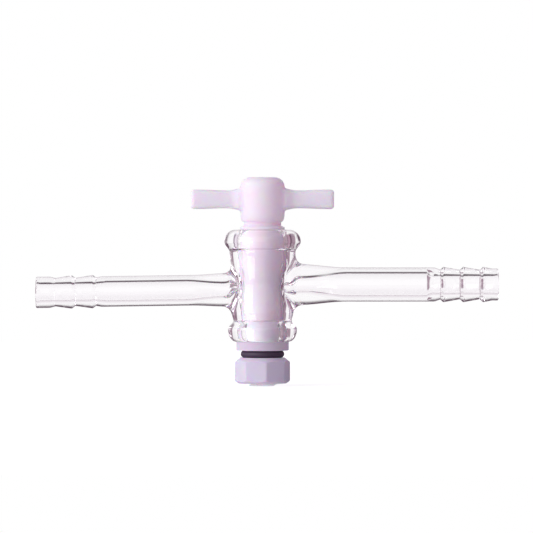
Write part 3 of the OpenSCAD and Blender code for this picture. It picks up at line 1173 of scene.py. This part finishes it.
@dataclass
class TaperedKey:
    """The key: hub, handle, neck, tapered plug, threaded stem with two flats."""

    taper: Taper
    thread: Thread
    columns: int = 120
    hub_r: float = 6.2
    hub_round: float = 2.7
    hub_root_h: float = 2.1
    neck_r: float = 5.25
    neck_h: float = 1.0
    shoulder_h: float = 0.5
    stem_r: float = 4.0
    stem_rows: int = 128
    flats: float = 6.8
    bevel: float = 0.4
    end_h: float = 0.6          # of the stem's bevelled end
    thread_end: Pair = (1.6, 0.7)       # below the plug, where the thread fades out
    thread_blend: float = 0.08  # rounding of the thread's crests
    flats_blend: float = 0.06   # rounding where the flats cut it
    recess: float = 0.6
    handle_rise: float = 6.4
    root_h: float = 5.9         # height of a wing at the hub
    waist_h: float = 5.05
    tip_h: float = 5.5
    root_t: float = 7.0         # thickness of a wing at the hub
    wing_t: float = 4.0
    root_reach: float = 3.6     # how far from the hub it is thicker
    root_full: float = 5.1      # distance from the axis at which it is thickest
    wing_rows: int = 30
    tip_l: float = 1.0          # of a wing's rounded tip
    tip_round: float = 0.8      # how far the wing draws in there
    tip_full: float = 1.5       # distance from the end at which it is tallest
    fillet: float = 0.9
    squareness: float = 5.0
    plug_window: float = 2.4    # how far the bore's window reaches above and below the bore
    plug_clear: float = 3.0     # and how far the wall round it is plain
    plug_cells: Cells = (14, 9)
    port_edge: float = 0.15     # rounding of the bore's edge
    hub_window: float = 1.0     # how far a wing's window reaches up the hub's rounding
    hub_cells: Cells = (24, 18)

    def __post_init__(self) -> None:
        """Takes the heights and the span from the frame."""
        low, high = span("key")
        self.foot = float(low[2])
        self.top = float(high[2])
        self.wing_l = float(high[0])
        self.plug_z = self.taper.foot + self.recess
        self.hub_z = self.taper.top + self.shoulder_h + self.neck_h
        self.handle_z = self.hub_z + self.handle_rise

    def hub(self, z: Array) -> Array:
        """Radius of the hub at a height, rounded in at its top."""
        over = np.clip(z - (self.top - self.hub_round), 0, self.hub_round)
        return self.hub_r - self.hub_round + np.sqrt(self.hub_round**2 - over**2)

    def rows(self) -> tuple[Array, tuple[int, int], tuple[int, int]]:
        """The key's half outline from the stem's end to the hub's top.

        Returns:
            Points of (radius, height), the plug window's rows and the hub window's rows.
        """
        foot, top, plug_z, port = self.foot, self.top, self.plug_z, self.taper.port_z
        shoulder_z, dome_z, radius = self.taper.top, self.top - self.hub_round, self.taper.radius
        bevel = rounded([(2.9, foot, 0), (self.stem_r - self.bevel, foot, 0.08),
                         (self.stem_r, foot + self.bevel, 0.08),
                         (self.stem_r, foot + self.end_h, 0)], 3)
        end = np.concatenate([level_face((0.4, 1.3, 2.1), foot), held(bevel, *FINE)])
        z = np.linspace(foot + self.end_h, plug_z - 0.3, self.stem_rows)
        stem = np.stack([0 * z + self.stem_r, z], 1)
        under, over = port - self.plug_clear, port + self.plug_clear
        low = held(rounded([(self.stem_r, plug_z - 0.2, 0), (self.stem_r, plug_z, 0.12),
                            (radius(plug_z), plug_z, 0.25), (radius(under), under, 0)], 4))
        z = np.linspace(port - self.plug_window, port + self.plug_window, self.plug_cells[0] + 1)
        cross = np.stack([radius(z), z], 1)
        shoulder = rounded([(radius(over), over, 0), (radius(shoulder_z), shoulder_z, 0.2),
                            (self.neck_r, shoulder_z + self.shoulder_h, 0.25),
                            (self.neck_r, self.hub_z, 0)], 4)
        root = arc((self.neck_r, self.hub_z + self.hub_root_h),
                   (self.hub_r - self.neck_r, self.hub_root_h), -90, 0, 12)
        z = np.linspace(self.hub_z + self.hub_root_h + 0.1, dome_z + self.hub_window,
                        self.hub_cells[0] + 1)
        side = np.stack([self.hub(z), z], 1)
        start = math.degrees(math.asin(self.hub_window / self.hub_round)) + 4
        dome = arc((self.hub_r - self.hub_round, dome_z), (self.hub_round,) * 2, start, 90, 12)
        rows = [end, stem[1:], low, cross, held(shoulder), root[1:], side, dome,
                level_face((3.2, 2.0, 0.8), top)]
        plug, hub = (sum(len(r) for r in rows[:count]) for count in (3, 6))
        return (np.concatenate(rows), (plug, plug + self.plug_cells[0]),
                (hub, hub + self.hub_cells[0]))

    def stem_points(self, points: Array) -> Array:
        """Cuts the thread and the two flats into the stem.

        Args:
            points: Points of the turned key.

        Returns:
            The points with the stem's radius cut: the lesser of the thread's radius and of
            the flats', rounded over where they cross.
        """
        (a, r), z = angle_and_radius(points), points[..., 2]
        below, above = self.thread_end
        inside = 1 - smooth_step(z, self.plug_z - below, self.plug_z - above)
        cut = soft_min(r, self.stem_r - self.thread.groove(a, z) * inside,
                       self.thread_blend)
        flat = soft_min(cut, flatted(a, self.flats), self.flats_blend)
        cut = np.where(z < self.plug_z - 0.05, flat, r)
        share = cut / np.maximum(r, 1e-6)
        return points * np.stack([share, share, np.ones_like(share)], -1)

    def wing_radius(self, a: Array, out: Array) -> Array:
        """Distance of a wing's surface from its middle line.

        A squared circle of half height h and half thickness t:
        (|cos a / h|^p + |sin a / t|^p) ^ (-1 / p).

        Args:
            a: Angles round the wing from +Z.
            out: Distances from the key's axis.

        Returns:
            The radii.
        """
        root, half, p = self.hub_r + self.root_reach, self.wing_l / 2, self.squareness
        near = np.clip((half - out) / (half - self.hub_r), 0, 1.3) ** 2
        h = self.waist_h + (self.root_h - self.waist_h) * near
        far = [(half, 0.0), (self.wing_l - self.tip_full, self.tip_h - self.waist_h)]
        h = (h + eased(out, far)) / 2
        t = self.wing_t + (self.root_t - self.wing_t) * np.clip(
            (root - out) / (root - self.root_full), 0, 1) ** 2
        return (np.abs(np.cos(a) / h) ** p + np.abs(np.sin(a) * 2 / t) ** p) ** (-1 / p)

    def build(self) -> Piece:
        """Builds the key.

        Returns:
            The piece.
        """
        skin = Skin()
        outline, plug_rows, hub_rows = self.rows()
        grid = skin.add(self.stem_points(turned_points(outline, self.columns)))
        kept = np.ones((len(grid) - 1, self.columns), bool)
        mouths = []
        for side in (1, -1):
            hub = Window(side, self.hub_cells[1], *hub_rows)
            plug = Window(side, self.plug_cells[1], *plug_rows)
            kept &= ~hub.cells(kept.shape) & ~plug.cells(kept.shape)
            self.add_wing(skin, hub, grid)
            bore = Junction(plug, self.taper.radius, self.taper.port_z, level(self.taper.port_r),
                            level(self.port_edge), inward=True)
            mouths.append(bore.grow(skin, grid, spread=5, turn=4))
        skin.weave(np.stack(mouths))
        skin.weave(grid, kept)
        skin.close(grid[0], (0, 0, self.foot))
        skin.close(grid[-1], (0, 0, self.top))
        return skin.build("tapered_key")

    def add_wing(self, skin: Skin, window: Window, grid: Array) -> None:
        """Grows one wing out of the hub and closes its tip.

        Args:
            skin: The key's skin.
            window: Where the wing joins the hub.
            grid: Indices of the turned key, one ring to a row.
        """
        a, tip = window.angles(), self.wing_l - self.tip_l
        join = Junction(window, self.hub, self.handle_z,
                        lambda angle: self.wing_radius(angle, self.hub_r + 0 * angle),
                        level(self.fillet))
        last = join.grow(skin, grid, spread=6, turn=8)
        x, y, z = skin.places(last).T
        t = (np.arange(1, self.wing_rows + 1) / self.wing_rows)[:, None]
        out = np.abs(x) + (tip - np.abs(x)) * t
        own = self.wing_radius(a, out)
        rho = own + (np.hypot(y, z - self.handle_z) - own[0]) * np.clip(1 - t * 5, 0, 1) ** 2
        bend = np.radians(np.linspace(0, 90, 9)[1:, None])
        tip_rho = self.wing_radius(a, tip + 0 * a) - self.tip_round * (1 - np.cos(bend))
        end_rho = tip_rho[-1] * np.array([[0.97], [0.6], [0.2]])
        rho = np.concatenate([rho, tip_rho, end_rho])
        out = np.concatenate([out, tip + self.tip_l * np.sin(bend) + 0 * a,
                              self.wing_l + 0 * end_rho])
        last = skin.branch(last, np.stack([window.side * out, rho * np.sin(a),
                                           self.handle_z + rho * np.cos(a)], -1))
        skin.close(last, (window.side * self.wing_l, 0, self.handle_z))


@dataclass
class FlatWasher:
    """The washer, its hole flatted to the stem."""

    columns: int = 120
    hole_r: float = 4.06
    flats: float = 6.92
    edge: float = 0.22
    hole_edge: float = 0.15
    eased_r: float = 5.2        # out to which the flats bend the washer's faces
    blend: float = 0.04

    def build(self) -> Piece:
        """Builds the washer.

        Returns:
            The piece.
        """
        low, high = span("washer")
        r, foot, top = float(high[0]), float(low[2]), float(high[2])
        middle = (self.hole_r, (foot + top) / 2, 0)
        outline = held(rounded([middle, (self.hole_r, foot, self.hole_edge), (r, foot, self.edge),
                                (r, top, self.edge), (self.hole_r, top, self.hole_edge), middle]))
        points = turned_points(outline[:-1], self.columns)
        a, own = angle_and_radius(points)
        inner = soft_min(self.hole_r + 0 * a, flatted(a, self.flats), self.blend)
        share = np.clip((self.eased_r - own) / (self.eased_r - self.hole_r), 0, 1)
        points[..., :2] *= (1 - (1 - inner / self.hole_r) * share)[..., None]
        return ring_piece(points, "flat_washer")


@dataclass
class SealRing:
    """The rubber ring, pressed flat above and below, with a faint mould line round it."""

    columns: int = 144
    sides: int = 48
    cord_r: float = 1.05
    line: float = 0.02          # how far the mould line stands out
    line_w: float = 0.1
    blend: float = 0.05

    def build(self) -> Piece:
        """Builds the ring: a round cord whose height is cut to the squeezed one.

        Returns:
            The piece.
        """
        low, high = span("o_ring")
        middle = float(high[0]) - self.cord_r
        half = float(high[2] - low[2]) / 2
        a = 2 * np.pi * np.arange(self.sides) / self.sides
        rise = self.cord_r * np.sin(a)
        rise = np.sign(rise) * soft_min(np.abs(rise), half + 0 * rise, self.blend)
        reach = self.cord_r * np.cos(a)
        line = self.line * np.exp(-((rise / self.line_w) ** 2))
        reach = reach + np.where(reach > 0, line, 0) - self.line
        outline = np.stack([middle + reach, (low[2] + high[2]) / 2 + rise], 1)
        return ring_piece(turned_points(outline, self.columns), "seal_ring")


@dataclass
class ClampNut:
    """The eight-sided nut with bevelled corners and a threaded bore."""

    thread: Thread
    columns: int = 160
    rows: int = 92              # of the threaded bore
    wall_rows: int = 16
    sides: int = 8
    corners: float = 15.8
    top_r: float = 6.3
    top_drop: float = 1.3
    foot_r: float = 6.7
    foot_rise: float = 0.8
    face_round: float = 0.12    # between a bevel and the face beside it
    turn: float = 8.0           # of the first corner, in degrees
    bore_r: float = 4.06
    running: float = 0.08       # play of the thread's crests
    edge: float = 0.16
    mouth: float = 0.45

    def build(self) -> Piece:
        """Builds the nut: a turned outline cut by eight flats, its bore cut by the thread.

        Returns:
            The piece.
        """
        low, high = span("nut")
        foot, top, r = float(low[2]), float(high[2]), self.corners / 2
        mouth_r, turn = self.bore_r + self.mouth, math.radians(self.turn)
        sides = rounded([(mouth_r, foot, 0), (self.foot_r, foot, self.face_round),
                         (r, foot + self.foot_rise, 0)], 4)
        wall = np.linspace(foot + self.foot_rise, top - self.top_drop, self.wall_rows)[1:-1]
        over = rounded([(r, top - self.top_drop, 0), (self.top_r, top, self.face_round),
                        (mouth_r, top, 0)], 4)
        bore = np.linspace(top, foot, self.rows)
        bevel = np.clip(self.mouth - np.minimum(bore - foot, top - bore), 0, None)
        rows = [held(sides, *FINE), np.stack([r + 0 * wall, wall], 1),
                held(over, *FINE), np.stack([self.bore_r + bevel, bore], 1)[1:-1]]
        points = turned_points(np.concatenate(rows), self.columns, turn)
        a, own = angle_and_radius(points)
        off = np.mod(a - turn, 2 * np.pi / self.sides) - np.pi / self.sides
        cut = soft_min(own, r * math.cos(math.pi / self.sides) / np.cos(off), self.edge)
        cut = np.where(own < self.foot_r - 1, own, cut)
        count = len(rows[3])
        threaded = self.bore_r + self.running - self.thread.groove(a, points[..., 2])[-count:]
        plain = own[-count:] > self.bore_r + 0.001
        cut[-count:] = np.where(plain, own[-count:], threaded)
        points[..., :2] *= (cut / own)[..., None]
        return ring_piece(points, "clamp_nut")


# ---------------------------------------------------------------- studio


@dataclass
class Lamp:
    """A square soft lamp that faces the object."""

    name: str
    place: Triple
    size: float             # of its side, in metres
    power: float            # in watts

    def build(self, target: Triple) -> None:
        """Adds the lamp.

        Args:
            target: The point that it faces.
        """
        data = bpy.data.lights.new(self.name, "AREA")
        data.size = self.size
        data.energy = self.power
        lamp = bpy.data.objects.new(self.name, data)
        bpy.context.scene.collection.objects.link(lamp)
        lamp.location = self.place
        aim = Vector(target) - lamp.location
        lamp.rotation_euler = aim.to_track_quat("-Z", "Y").to_euler()


@dataclass
class Surround:
    """What stands round the object. An edge gives where it begins and ends, as sines."""

    ceiling: Colour = (0.11, 0.08, 0.10, 1)
    ceiling_edge: Pair = (0.60, 0.86)       # where it fades in overhead
    ceiling_side: Pair = (0.30, 0.55)       # where it fades out sideways
    wall_edge: Pair = (0.66, 0.72)          # where the side walls begin
    far_edge: Pair = (0.76, 0.82)           # and where they change
    dark_side: Colour = (0.12, 0.07, 0.10, 1)       # away from the lamp, the near part
    dim_side: Colour = (0.46, 0.29, 0.38, 1)        # and the far part
    lit_side: Colour = (0.34, 0.27, 0.34, 1)        # on the lamp's side, the near part
    bright_side: Colour = (0.84, 0.76, 0.85, 1)     # and the far part
    card: Colour = (0.34, 0.235, 0.295, 1)          # a screen low down, away from the lamp
    card_edge: Pair = (0.17, 0.30)
    card_top: Pair = (0.26, 0.42)
    ambient: Colour = (0.52, 0.51, 0.56, 1)         # for matt skin, on the lamp's side
    ambient_far: Colour = (0.39, 0.30, 0.375, 1)    # and away from it
    ambient_edge: Pair = (-0.1, 0.7)

    def build(self) -> None:
        """A white surround with its walls, card and ceiling, and a dim light for matt skin."""
        world = bpy.data.worlds.new("studio")
        world.use_nodes = True
        bpy.context.scene.world = world
        tree = world.node_tree
        across, up = along(tree, "X", "Generated"), along(tree, "Z", "Generated")
        left = maths(tree, "MULTIPLY", across, -1.0)
        side = ramped(tree, maths(tree, "ABSOLUTE", across), self.ceiling_side, FALL)
        card = maths(tree, "MULTIPLY", ramped(tree, across, self.card_edge),
                     ramped(tree, up, self.card_top, FALL))
        over = maths(tree, "MULTIPLY", ramped(tree, up, self.ceiling_edge), side)
        colour: object = WHITE
        for share, wall in ((card, self.card),
                            (ramped(tree, left, self.wall_edge), self.lit_side),
                            (ramped(tree, left, self.far_edge), self.bright_side),
                            (ramped(tree, across, self.wall_edge), self.dark_side),
                            (ramped(tree, across, self.far_edge), self.dim_side),
                            (over, self.ceiling),
                            (light_path(tree, "Is Camera Ray"), WHITE)):
            colour = mixed(tree, share, colour, wall)
        dim = mixed(tree, ramped(tree, across, self.ambient_edge), self.ambient, self.ambient_far)
        fed(tree.nodes["Background"], {"Color": mixed(tree, seen(tree), dim, colour)})


@dataclass
class Floor:
    """A pale floor that shows white where it is lit and keeps the object's shadow; its glow also
    lights matt skin from below, with a painted shadow beside the object and a painted pool of light
    under the nut.
    """

    size: float = 0.9
    grey: Colour = (0.5, 0.5, 0.5, 1)
    roughness: float = 0.9
    glow: Pair = (0.76, 0.94)           # near the object and far away
    fade: Pair = (0.10, 0.38)           # where the one passes into the other
    fill: Pair = (0.26, 0.34)           # what it gives matt skin from below, near and far
    painted_shade_edge: Pair = (-0.001, 0.014)  # sideways, where the painted shadow begins: the glow that lights matt skin falls to nothing away from the lamp
    painted_shade_reach: Pair = (0.030, 0.070)  # and how far from the object that painted shadow clears
    painted_under_glow: float = 0.50            # painted pool of light: the floor glows brighter under the nut, lighting the stem's end
    painted_under_glow_edge: Pair = (0.006, 0.009)   # where that painted pool of light ends
    table_edge: Pair = (0.09, 0.12)     # where the floor ends for rays from glass
    painted_shadow_fade: Pair = (0.012, 0.034)   # and where its painted shadow near the object clears, in front of and behind it
    # painted shadow: the floor's colour near the object, as glass shows it
    table_painted_shadow: Colour = (0.88, 0.84, 0.87, 1)
    table_far: Colour = (1.0, 0.99, 1.0, 1)
    mirrored: Colour = (0.20, 0.14, 0.18, 1)        # painted shade: the floor as skins mirror it, dark, standing in for shade on the floor round the object

    def build(self) -> None:
        """Lays the floor."""
        bpy.ops.mesh.primitive_plane_add(size=self.size)
        floor = bpy.context.object
        floor.name = "studio_floor"
        material = bpy.data.materials.new("studio_floor")
        material.use_nodes = True
        tree = material.node_tree
        shader = fed(tree.nodes["Principled BSDF"], {
            "Base Color": self.grey, "Roughness": self.roughness, "Specular IOR Level": 0.0,
            "Emission Color": WHITE})
        reach = reach_of(tree)
        glow = maths(tree, "MULTIPLY", light_path(tree, "Is Camera Ray"),
                     ramped(tree, reach, self.fade, self.glow))
        # the floor's glow for matt skin, with a painted shadow beside the object away from the lamp
        # and a painted pool of light under the nut
        for fill in (ramped(tree, along(tree, "X"), self.painted_shade_edge, (self.fill[0], 0.0)),
                     ramped(tree, reach, self.painted_shade_reach, (0.0, self.fill[1])),
                     ramped(tree, reach, self.painted_under_glow_edge, (self.painted_under_glow, 0.0))):
            glow = maths(tree, "MAXIMUM", glow, fill)
        fed(shader, {"Emission Strength": glow})
        surface(tree, either(tree, bent(tree), shader.outputs["BSDF"], self.table(tree)))
        floor.data.materials.append(material)

    def table(self, tree: Tree) -> Socket:
        """The floor as glass shows it: a painted shadow near the object, paler away from it,
        painted shade in mirrors, open aside.

        Args:
            tree: The floor's tree.

        Returns:
            A shader's socket.
        """
        # painted shadow near the object for rays through glass, and painted shade for mirrored rays
        shade = ramped(tree, maths(tree, "ABSOLUTE", along(tree, "Y")), self.painted_shadow_fade)
        colour = mixed(tree, shade, self.table_painted_shadow, self.table_far)
        mirror = maths(tree, "LESS_THAN", light_path(tree, "Is Transmission Ray"), 0.5)
        top = node_of(tree, "ShaderNodeEmission",
                      {"Color": mixed(tree, mirror, colour, self.mirrored)})
        aside = ramped(tree, maths(tree, "ABSOLUTE", along(tree, "X")), self.table_edge)
        clear = node_of(tree, "ShaderNodeBsdfTransparent")
        return either(tree, aside, top.outputs["Emission"], clear.outputs["BSDF"])


def bent(tree: Tree) -> Socket:
    """1 for what is seen mirrored or through glass, and 0 for all else.

    Args:
        tree: Tree of the world or a material.

    Returns:
        A socket.
    """
    rays = maths(tree, "MAXIMUM", light_path(tree, "Is Glossy Ray"),
                 light_path(tree, "Is Transmission Ray"))
    fresh = maths(tree, "LESS_THAN", light_path(tree, "Diffuse Depth"), 0.5)
    return maths(tree, "MULTIPLY", rays, fresh)


def seen(tree: Tree) -> Socket:
    """1 for what is seen straight, mirrored or through glass, and 0 for what lights matt skin."""
    return maths(tree, "MAXIMUM", light_path(tree, "Is Camera Ray"), bent(tree))


@dataclass
class Studio:
    """The camera, and the surround, floor and lamp in their places."""

    frame_width: float = 0.1499     # across the view at the object, in metres
    distance: float = 1.3
    sensor: float = 36.0
    target: Triple = (0.001125, 0.0, 0.0336)
    elevation: float = 0.6          # in degrees
    clip: Pair = (0.05, 100.0)

    def camera(self) -> None:
        """A long lens in front of the object, a little above it."""
        data = bpy.data.cameras.new("camera")
        data.sensor_width = self.sensor
        data.lens = self.sensor * self.distance / self.frame_width
        data.clip_start, data.clip_end = self.clip
        camera = bpy.data.objects.new("camera", data)
        bpy.context.scene.collection.objects.link(camera)
        rise = math.radians(self.elevation)
        back = Vector((0, -math.cos(rise), math.sin(rise)))
        camera.location = Vector(self.target) + back * self.distance
        camera.rotation_euler = (-back).to_track_quat("-Z", "Y").to_euler()
        bpy.context.scene.camera = camera

    def build(self) -> None:
        """Sets up the whole studio."""
        bpy.context.scene.view_settings.view_transform = "Standard"
        self.camera()
        Surround().build()
        Floor().build()
        Lamp("left_front", (-1.19, -0.76, 0.45), size=1.0, power=13.1).build(self.target)
        LOG.info("studio: camera, surround, floor and lamp")


def main() -> None:
    """Builds the studio and the five pieces in order."""
    logging.basicConfig(level=logging.INFO, format="%(name)s %(message)s")
    Studio().build()
    effects = Effects()
    taper = Taper()
    thread = Thread()
    dress(BlownGlass(taper).build(), Finishes.GLASS, effects, "glass", "glass_body")
    dress(TaperedKey(taper, thread).build(), Finishes.KEY, effects, "key", "key")
    dress(FlatWasher().build(), Finishes.WASHER, effects, "seal", "washer")
    dress(SealRing().build(), Finishes.RUBBER, effects, "seal", "o_ring")
    dress(ClampNut(thread).build(), Finishes.NUT, effects, "nut", "nut")


if __name__ == "__main__":
    main()
